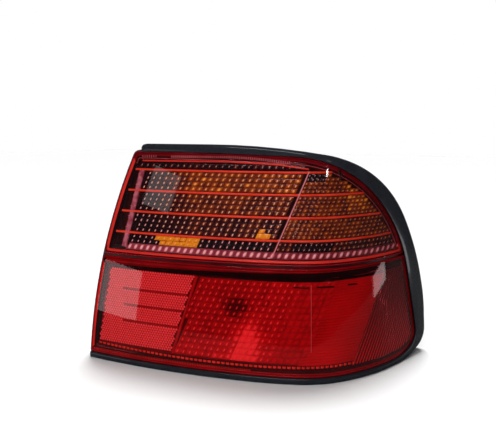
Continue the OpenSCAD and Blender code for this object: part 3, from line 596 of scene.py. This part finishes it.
# Upright slots between the bar and the inboard edge
slots = []
for k, z in enumerate((121.0, 136.8, 158.4, 180.2)):
    top = z + (10.0 if k == 0 else 15.5)
    for off, half in ((-9.4, 0.75), (4.6, 0.65)):
        slots.append(bar([(left_u(z) - 5.5 + off, z), (left_u(top) - 5.5 + off, top)], half, 5.3, 6.0, 12))
v, f = merged(slots)
piece("upper_slots", v, f, BEVEL_SHADE)
v, f = merged([bar([(left_u(z) - 9.0, z + 0.4), (left_u(z) - 3.0, z + 0.4)], 0.6, 5.36, 6.2, 8)
               for z in (150.5, 139.0, 172.0, 161.0, 194.0, 183.0)])
piece("upper_slot_bars", v, f, LEFT_BAR)

# Lens mouldings with rounded edges in place of the plain ones
def lens_rows(kind, g):
    side = round_side(LENS_ARCS, LENS_TOP, LENS_FOOT, LENS_RIGHT, g)
    if kind == "upper":
        left = inboard_edge(UPPER_FOOT + g, LENS_TOP - g, max(4 - g, 1), max(6 - g, 1), g)
        right, _ = cut_below(side, UPPER_FOOT + g)
    else:
        left = inboard_edge(LENS_FOOT + g, LOWER_TOP - g, 1, max(4 - g, 1), g)
        _, right = cut_below(side, LOWER_TOP - g)
    right = spread(right, 110)
    zs = np.sort(np.concatenate([right[:, 1], left[1:8, 1], left[-8:-1, 1]]))
    order = np.argsort(right[:, 1])
    ur = np.interp(zs, right[order, 1], right[order, 0])
    ul = np.interp(zs, left[:, 1], left[:, 0])
    if kind == "upper":
        ur[-1] = right[0, 0]
    f = np.linspace(0, 1, 121)
    u = ul[:, None] + (ur - ul)[:, None] * f[None, :]
    return u, np.repeat(zs[:, None], 121, 1)


def lens_shell(kind):
    u, z = lens_rows(kind, EDGE_R)
    nr, nc = u.shape
    edge = [(i, 0) for i in range(nr)] + [(nr - 1, j) for j in range(1, nc)]
    edge += [(i, nc - 1) for i in range(nr - 2, -1, -1)] + [(0, j) for j in range(nc - 2, 0, -1)]
    verts = [place(u.ravel(), z.ravel(), LENS_INSET)]
    quads = grid_faces(nr, nc)
    faces = list(quads)
    ring = [i * nc + j for i, j in edge]
    base = nr * nc
    r = EDGE_R
    prof = [(r - r * math.sin(a), LENS_INSET + r - r * math.cos(a)) for a in np.linspace(0, math.pi / 2, 5)[1:]]
    prof += [(0, SKIRT_DEPTH), (SKIRT_T, SKIRT_DEPTH), (SKIRT_T, LENS_BACK)]
    n = len(edge)
    for g, t in prof[:-1]:
        u, z = lens_rows(kind, g)
        verts.append(place(np.array([u[e] for e in edge]), np.array([z[e] for e in edge]), t))
        new = [base + k for k in range(n)]
        faces += [(ring[k], ring[(k + 1) % n], new[(k + 1) % n], new[k]) for k in range(n)]
        ring, base = new, base + n
    u, z = lens_rows(kind, prof[-1][0])
    verts.append(place(u.ravel(), z.ravel(), prof[-1][1]))
    new = [base + i * nc + j for i, j in edge]
    faces += [(ring[k], ring[(k + 1) % n], new[(k + 1) % n], new[k]) for k in range(n)]
    faces += [tuple(base + q for q in reversed(f)) for f in quads]
    return np.vstack(verts), faces


for kind, mat, slot in (("upper", UPPER_LENS, "lens_upper"), ("lower", LOWER_LENS, "lens_red")):
    v, f = lens_shell(kind)
    shell = piece(f"{kind}_lens_shell", v, f, mat)
    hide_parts(f"{kind}_lens")

# Rims behind the lens edges, with painted highlight in the bright bands and painted shade in the dark grooves
# and bevels
LEFT_END = 59


def upper_left(g):
    return upper_outline(g)[4:LEFT_END - 3]


def upper_round(g):
    return np.vstack([upper_outline(g)[LEFT_END - 4:LEFT_END + 160]])


def upper_foot(g):
    return np.vstack([upper_outline(g)[LEFT_END + 156:], upper_outline(g)[:5]])


def lower_left(g):
    return lower_outline(g)[2:57]


def lower_round(g):
    return np.vstack([lower_outline(g)[59 + 109:], lower_outline(g)[:3]])


def step(g0, g1, t0, t1=10.0):
    return [(g0, t0 + 0.4), (g0 + 0.3, t0), (g1 - 0.3, t0), (g1, t0 + 0.4), (g1, t1), (g0, t1)]


RIMS = [
    ("upper_edge_dark", upper_outline, step(0.25, 1.5, 2.8, 11.6), True, RIM_RED, "lens_upper"),
    ("upper_left_highlight", upper_left, step(1.5, 4.7, 2.9), False, EDGE_HIGHLIGHT, "lens_upper"),
    ("upper_left_bevel", upper_left, [(4.7, 6.4), (5.0, 5.7), (9.4, 8.6), (9.4, 10.0), (4.7, 10.0)],
     False, BEVEL_SHADE, "lens_upper"),
    ("upper_round_red", upper_round, step(1.5, 5.0, 5.6), False, RIM_RED, "lens_upper"),
    ("upper_round_groove", upper_round, step(5.0, 7.0, 6.3), False, RIM_SHADE, "lens_upper"),
    ("upper_round_line", upper_round, step(7.0, 7.7, 5.6), False, RIM_LINE, "lens_upper"),
    ("upper_round_shade", upper_round, step(7.7, 9.4, 6.3), False, RIM_SHADE, "lens_upper"),
    ("upper_foot_groove", upper_foot, step(1.5, 2.5, 5.8), False, RIM_SHADE, "lens_upper"),
    ("upper_foot_red", upper_foot, step(2.5, 4.8, 3.2), False, EDGE_HIGHLIGHT, "lens_upper"),
    ("lower_edge_dark", lower_outline, step(0.25, 1.8, 2.8, 11.6), True, RIM_RED, "lens_red"),
    ("lower_left_highlight", lower_left, step(1.8, 4.4, 2.9), False, EDGE_HIGHLIGHT, "lens_red"),
    ("lower_left_bevel", lower_left, [(4.4, 6.4), (4.8, 5.6), (10.4, 7.0), (10.4, 10.0), (4.4, 10.0)],
     False, BEVEL_SHADE, "lens_red"),
    ("lower_round_red", lower_round, step(1.8, 3.4, 5.0), False, RIM_RED, "lens_red"),
    ("lower_round_shade", lower_round, [(3.4, 5.8), (5.0, 5.6), (8.8, 6.2), (10.0, 7.0), (10.0, 9.4), (3.4, 9.4)],
     False, RIM_SHADE, "lens_red"),
]
for name, path, profile, closed, mat, slot in RIMS:
    v, f = swept_band(path, profile, closed)
    piece(name, v, f, mat)
v, f = merged([bar([(-112, 208.6), (-20, 209.2), (30, 207.0), (60, 202.6)], 0.8, 5.3, 6.6, 90)])
piece("upper_head_line", v, f, EDGE_HIGHLIGHT)
HEAD_LOW = [(edge_point(100, INBOARD_R)[0] + 4.6, 100.2), (-60, 101.6), (40, 103.6), (120, 104.6),
            (170, 104.4)]
v, f = ribbon(HEAD_LOW, [(edge_point(106, INBOARD_R)[0] + 4.6, 106.6), (172, 106.6)], 4.9, 1.7)
piece("lower_head_red", v, f, RIM_RED)
v, f = ribbon([(edge_point(96, INBOARD_R)[0] + 6, 95.6), (-60, 96.8), (20, 95.6), (110, 93.0), (164, 95.0)],
              HEAD_LOW, 6.4, -1.2)
piece("lower_head_bevel", v, f, BEVEL_SHADE)
v, f = merged([bar([(u, 91.0), (u + w, 90.6)], 0.7, 5.5, 6.4, 8) for u, w in ((44, 15), (66, 17), (97, 10))])
piece("lower_head_slots", v, f, RIM_SHADE)


# Rows of fine teeth on the rims
def teeth(line, pitch, half, t0, rise, share=0.55):
    p = np.array(line, float)
    length = np.linalg.norm(np.diff(p, axis=0), axis=1).sum()
    n = int(length / pitch)
    c = spread(p, n)
    d = np.gradient(c, axis=0)
    d /= np.linalg.norm(d, axis=1)[:, None]
    side = np.stack([-d[:, 1], d[:, 0]], -1)
    a = pitch * share / 2
    cols, ts = [], []
    for s, e, t in ((-1, -a, 0), (1, -a, 0), (1, 0, rise), (-1, 0, rise), (1, a, 0), (-1, a, 0)):
        cols.append(c + side * half * s + d * e)
        ts.append(t0 - t)
    v = np.stack([place_free(q[:, 0], q[:, 1], np.full(n, t)) for q, t in zip(cols, ts)], 1)
    f = []
    for i in range(n):
        b = 6 * i
        f += [(b, b + 1, b + 2, b + 3), (b + 3, b + 2, b + 4, b + 5), (b + 1, b, b + 5, b + 4),
              (b, b + 3, b + 5), (b + 1, b + 4, b + 2)]
    return v.reshape(-1, 3), f


v, f = merged([teeth([(-112, 213.2), (-97, 213.4)], 1.9, 1.2, 5.6, 0.7),
               teeth([(-79.5, 213.4), (-18, 213.8), (0, 213.1), (22, 211.2), (41.5, 208.6)],
                     2.1, 1.3, 5.6, 0.7)])
piece("upper_rim_grooves", v, f, TOOTH_PINK)
v, f = teeth([(-156, 17.0), (-122.7, 16.0), (-78.8, 15.0), (-47.7, 14.6), (-17.6, 14.6), (21, 15.0),
              (60, 15.6), (103, 15.6)], 4.4, 1.0, 5.5, 1.1, 0.75)
piece("lower_saw_edge", v, f, TOOTH, smooth=False)
v, f = teeth([(-163.5, 9.4), (-122.3, 9.6), (-47.5, 9.8), (2, 10.0)], 1.7, 1.2, 5.2, 0.8, 0.5)
piece("lower_rim_grooves", v, f, TOOTH)


# Lower window: reflex cells inboard, then domes, a plain part with level grooves, and leaning flutes
def split(z):
    return -78.5 + (z - 17.4) * 0.32


def reflex_left(z):
    return -157.5 + (z - 17.4) * 0.163


# Painted glow and shade of the lower domes: a flame-shaped glow leaning up the middle and fading towards the
# top, and a painted dark spot near u -12, z 70; the tone is also lighter at the inboard foot and outboard of u
# 20
def lower_glow_tone(u, z):
    across = (u + 1 - 0.25 * (z - 38)) / (23 - 0.30 * (z - 17))
    flame_glow = math.exp(-across ** 2) * min(1.0, max(0.0, (72 - z) / 30))
    dark = math.exp(-((u + 12) ** 2 + (z - 70) ** 2) / 90.0)
    smooth = 0.14 if z < 36 and u < -24 else 0.0
    return 0.32 + 0.60 * flame_glow - 0.5 * dark + smooth + (0.10 if u > 20 else 0.0)


# The painted highlights fade out towards the plain part
def lower_highlight_fade(u, z):
    return min(1.0, max(0.0, 1.25 - 0.022 * max(u - SLANT * (z - 40) - 8, 0.0)))


v, f, at = dome_field(lower_outline(9.4), [(18.0, 95.5, 13)], 6.4,
                      lambda u, z: split(z) + 5 < u < 62 + SLANT * (z - 40),
                      lower_glow_tone, 0.6, (8, 6), 0.42, 0.07, edge=0.18, fade=lower_highlight_fade)
piece("lower_pillow_optics", v, f, LOWER_OPTIC, attr=at)
v, f = bar([(60.7, 93.3), (60.4, 30)], 0.4, 5.4, 6.4, 30)
piece("lower_upright_line", v, f, RIM_LINE)
v, f = bar([(split(18) + 2.5, 18), (split(96) + 2.5, 96)], 1.6, 5.7, 6.8, 40)
piece("lower_split_bar", v, f, SPLIT_RED)


def hex_cells(keep, r, t, rise):
    verts, faces, painted_highlight, tone = [], [], [], []
    dx, dz = r * math.sqrt(3), r * 1.5
    row = 0
    z = 16.0
    while z < 101:
        u = -175 + (dx / 2 if row % 2 else 0)
        while u < 0:
            if keep(u, z):
                b = len(verts)
                shade = 0.25 if u > -130 and min(abs(z - q) for q in (43, 60.5, 76.5)) < 1.4 else 1.0
                verts.append((u, z, t - rise))
                # painted highlight: bright at the centre of each cell and on every other corner
                painted_highlight += [1.0 * shade] + [0.0, 0.3 * shade] * 3
                tone += [0.5 * shade] * 7
                for k in range(6):
                    a = math.radians(60 * k + 30)
                    verts.append((u + r * math.cos(a), z + r * math.sin(a), t if k % 2 else t - rise * 0.45))
                faces += [(b, b + 1 + k, b + 1 + (k + 1) % 6) for k in range(6)]
            u += dx
        z += dz
        row += 1
    p = np.array(verts)
    return place_free(p[:, 0], p[:, 1], p[:, 2]), faces, {"painted_highlight": painted_highlight, "tone": tone}


v, f, at = hex_cells(lambda u, z: reflex_left(z) < u < split(z) and 18.5 < z < 96.5, 1.55, 6.6, 0.85)
cells = piece("reflex_cells", v, f, REFLEX_RED, smooth=False, attr=at)
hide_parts("reflex_plate")

# Flutes lean like the domes
FLUTE_FOOT = 113.0 - SLANT * 28


def flutes(pitch, steps=6):
    edge = lower_outline(7.0)
    zs = np.linspace(12, 98, 60)
    verts, faces, painted_highlight, tone = [], [], [], []
    for k in range(28):
        for i in range(steps):
            b = len(verts)
            for z in zs:
                for a in (i / steps, (i + 1) / steps):
                    u = FLUTE_FOOT + (k + a) * pitch + SLANT * (z - 12)
                    verts.append((u, z, 6.6 - 0.9 * math.sin(math.pi * a)))
                    # painted highlight: bright down the middle of each flute, weaker higher up
                    painted_highlight.append(math.sin(math.pi * a) ** 2 * min(1, max(0.25, 1.15 - 0.008 * z)))
                    tone.append(0.35)
            starts = range(b, b + 2 * len(zs) - 2, 2)
            mids = [((verts[q][0] + verts[q + 3][0]) / 2, (verts[q][1] + verts[q + 3][1]) / 2) for q in starts]
            ok = inside(edge, np.array(mids))
            faces += [(q, q + 1, q + 3, q + 2) for q, good in zip(starts, ok) if good]
    p = np.array(verts)
    used = sorted({q for f in faces for q in f})
    index = {q: k for k, q in enumerate(used)}
    at = {"painted_highlight": np.array(painted_highlight)[used], "tone": np.array(tone)[used]}
    faces = [tuple(index[q] for q in f) for f in faces]
    return place_free(p[used, 0], p[used, 1], p[used, 2]), faces, at


v, f, at = flutes(3.3)
piece("lower_flutes", v, f, FLUTE_RED, attr=at)
v, f = bar([(FLUTE_FOOT + 1.3, 13), (FLUTE_FOOT + 14, 40)], 0.5, 5.5, 6.4, 20)
piece("lower_flute_line", v, f, RIM_LINE)


# Shallow level grooves between the domes and the flutes
def level_grooves(pitch=2.7):
    zs = np.arange(17, 96.5, pitch / 4)
    wave = np.sin(np.linspace(0, len(zs) * math.pi / 2, len(zs)) / 2) ** 2
    f = np.linspace(0, 1, 48)
    low = 58 + SLANT * (zs - 40)
    high = FLUTE_FOOT + SLANT * (zs - 12)
    u = low[:, None] + (high - low)[:, None] * f[None, :]
    z = np.repeat(zs[:, None], len(f), 1)
    t = np.repeat((6.3 - 0.35 * wave)[:, None], len(f), 1)
    # painted shade: the tone drops in the groove troughs, most between z 34 and 62 and towards the domes; the
    # tone is also lighter across the middle of the plain part
    dim = np.where((zs > 34) & (zs < 62), 1.0, 0.35)[:, None] * np.clip(1.4 - 2.2 * f, 0, 1)[None, :]
    tone = 0.30 + 0.25 * np.sin(math.pi * f)[None, :] - 0.30 * (1 - wave)[:, None] * dim
    faces = grid_faces(len(zs), len(f))
    return place_free(u.ravel(), z.ravel(), t.ravel()), faces, {"painted_highlight": np.zeros(u.size), "tone": tone.ravel()}


v, f, at = level_grooves()
piece("lower_level_grooves", v, f, PLAIN_RED, attr=at)


# Trim with rounded edges in place of the plain solid
def nearest(path, points):
    out = []
    for p in points:
        out.append(path[np.argmin(((path - p) ** 2).sum(1))])
    return np.array(out)


def trim_outer(g, n=420):
    c = 4.5
    corner = [[STRIP_START_U + c - (c - g) * math.cos(a), LAMP_H - c + (c - g) * math.sin(a)]
              for a in np.linspace(0, math.pi / 2, 9)]
    side = round_side(TRIM_ARCS, LAMP_H, 0, OUTBOARD_U, g)
    return np.vstack([corner, spread(np.vstack([side, [[INBOARD_U, g]]]), n)])


def trim_inner(extra):
    full = round_side(LENS_ARCS, LENS_TOP, LENS_FOOT, LENS_RIGHT, -0.4 - extra)
    return spread(np.vstack([[[STRIP_START_U, full[0][1]]], full, [[INBOARD_U, full[-1][1]]]]), 6000)


def end_cut(v):
    x, y, z = v[:, 0], v[:, 1], v[:, 2]
    over = np.maximum(y - (END_Y + SHIFT_Y) * MM, 0) / math.cos(TURN)
    return np.stack([x + over * math.sin(TURN), y - over * math.cos(TURN), z], -1)


def trim_piece():
    rows = []
    outer0 = trim_outer(0)
    r = 2.8
    prof = [("o", 0, 20), ("o", 0, 8)]
    prof += [("o", r - r * math.cos(a), r - r * math.sin(a)) for a in np.linspace(0, math.pi / 2 - 0.15, 7)]
    prof += [("m", 0.45, 0.0), ("i", 1.0, 0.0), ("i", 0.3, 0.25), ("i", 0.0, 0.9), ("i", 0.0, 6)]
    prof += [("o", 2.5, 6), ("o", 2.5, 20)]
    for kind, g, t in prof:
        if kind == "o":
            p = trim_outer(g)
        elif kind == "i":
            p = nearest(trim_inner(g), outer0)
        else:
            q = nearest(trim_inner(0), outer0)
            p = trim_outer(r) * (1 - g) + q * g
        rows.append(end_cut(place(p[:, 0], p[:, 1], t)))
    m, n = len(rows), len(rows[0])
    faces = grid_faces(m, n, ring=True)
    faces += [tuple(i * n for i in range(m)), tuple(i * n + n - 1 for i in reversed(range(m)))]
    return np.vstack(rows), faces


v, f = trim_piece()
trim = piece("trim_cover", v, f, TRIM_MAT)
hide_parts("trim_frame")

# Camera, floor and lights
CAMERA = Vector((0.48307, -0.70620, 0.24357))
PITCH = math.radians(6.277)
cam = bpy.data.cameras.new("camera")
cam.sensor_width = 36
cam.lens = 800 / 496 * 36
cam_ob = bpy.data.objects.new("camera", cam)
look = Vector((-math.sin(TURN) * math.cos(PITCH), math.cos(TURN) * math.cos(PITCH), -math.sin(PITCH)))
cam_ob.location = CAMERA
cam_ob.rotation_euler = look.to_track_quat("-Z", "Y").to_euler()
bpy.context.scene.collection.objects.link(cam_ob)
bpy.context.scene.camera = cam_ob

me = bpy.data.meshes.new("floor")
s = 6.0
me.from_pydata([(-s, -s, 0), (s, -s, 0), (s, s, 0), (-s, s, 0)], [], [(0, 1, 2, 3)])
floor_mat, nt, b = node_mat("floor_white", (0.9, 0.9, 0.9), 0.6, spec=0.2)
dim = nt.nodes.new("ShaderNodeBsdfDiffuse")
dim.inputs["Color"].default_value = (0.05, 0.05, 0.05, 1)
path = nt.nodes.new("ShaderNodeLightPath")
mix = nt.nodes.new("ShaderNodeMixShader")
nt.links.new(path.outputs["Is Glossy Ray"], mix.inputs["Fac"])
nt.links.new(b.outputs[0], mix.inputs[1])
nt.links.new(dim.outputs[0], mix.inputs[2])
nt.links.new(mix.outputs[0], nt.nodes["Material Output"].inputs["Surface"])
me.materials.append(floor_mat)
floor = bpy.data.objects.new("floor", me)
bpy.context.scene.collection.objects.link(floor)


def sun(name, aim_from, strength, angle):
    li = bpy.data.lights.new(name, "SUN")
    li.energy = strength
    li.angle = math.radians(angle)
    ob = bpy.data.objects.new(name, li)
    ob.location = aim_from
    ob.rotation_euler = Vector(aim_from).to_track_quat("Z", "Y").to_euler()
    ob.visible_glossy = False
    ob.visible_transmission = False
    bpy.context.scene.collection.objects.link(ob)
    return ob


def polar(az, el, dist, at=(0, 0, 0.1)):
    a, e = math.radians(az), math.radians(el)
    flat = dist * math.cos(e)
    return (at[0] + flat * math.sin(a), at[1] - flat * math.cos(a), at[2] + dist * math.sin(e))


def softbox(name, az, el, dist, width, height, power):
    at = polar(az, el, dist)
    li = bpy.data.lights.new(name, "AREA")
    li.shape = "RECTANGLE"
    li.size, li.size_y = width, height
    li.energy = power
    ob = bpy.data.objects.new(name, li)
    ob.location = at
    ob.rotation_euler = (Vector(at) - Vector((0, 0, 0.1))).to_track_quat("Z", "Y").to_euler()
    ob.visible_camera = False
    bpy.context.scene.collection.objects.link(ob)
    return ob


sun("sun_front", polar(15, 20, 3), 2.0, 40)
sun("sun_back", polar(206, 62, 3), 3.5, 22)
softbox("left_box", -38.5, 3, 2.0, 0.46, 0.36, 0.7)
softbox("left_high_box", -33, 26, 2.0, 0.30, 0.30, 0.2)
softbox("high_box", 87, 32.4, 2.4, 0.16, 0.06, 0.5)
softbox("back_card", 136, -3, 2.2, 0.55, 0.30, 0.7)
softbox("top_strip", 10, 66, 2.2, 1.6, 0.12, 8)

world = bpy.data.worlds.new("studio")
world.use_nodes = True
bpy.context.scene.world = world
wn = world.node_tree
bg = wn.nodes["Background"]
bg.inputs["Color"].default_value = (1, 1, 1, 1)
bg.inputs["Strength"].default_value = 0.018
white = wn.nodes.new("ShaderNodeBackground")
white.inputs["Color"].default_value = (1, 1, 1, 1)
white.inputs["Strength"].default_value = 1.0
path = wn.nodes.new("ShaderNodeLightPath")
mix = wn.nodes.new("ShaderNodeMixShader")
wn.links.new(path.outputs["Is Camera Ray"], mix.inputs["Fac"])
wn.links.new(bg.outputs[0], mix.inputs[1])
wn.links.new(white.outputs[0], mix.inputs[2])
wn.links.new(mix.outputs[0], wn.nodes["World Output"].inputs["Surface"])
bpy.context.scene.view_settings.view_transform = "Standard"
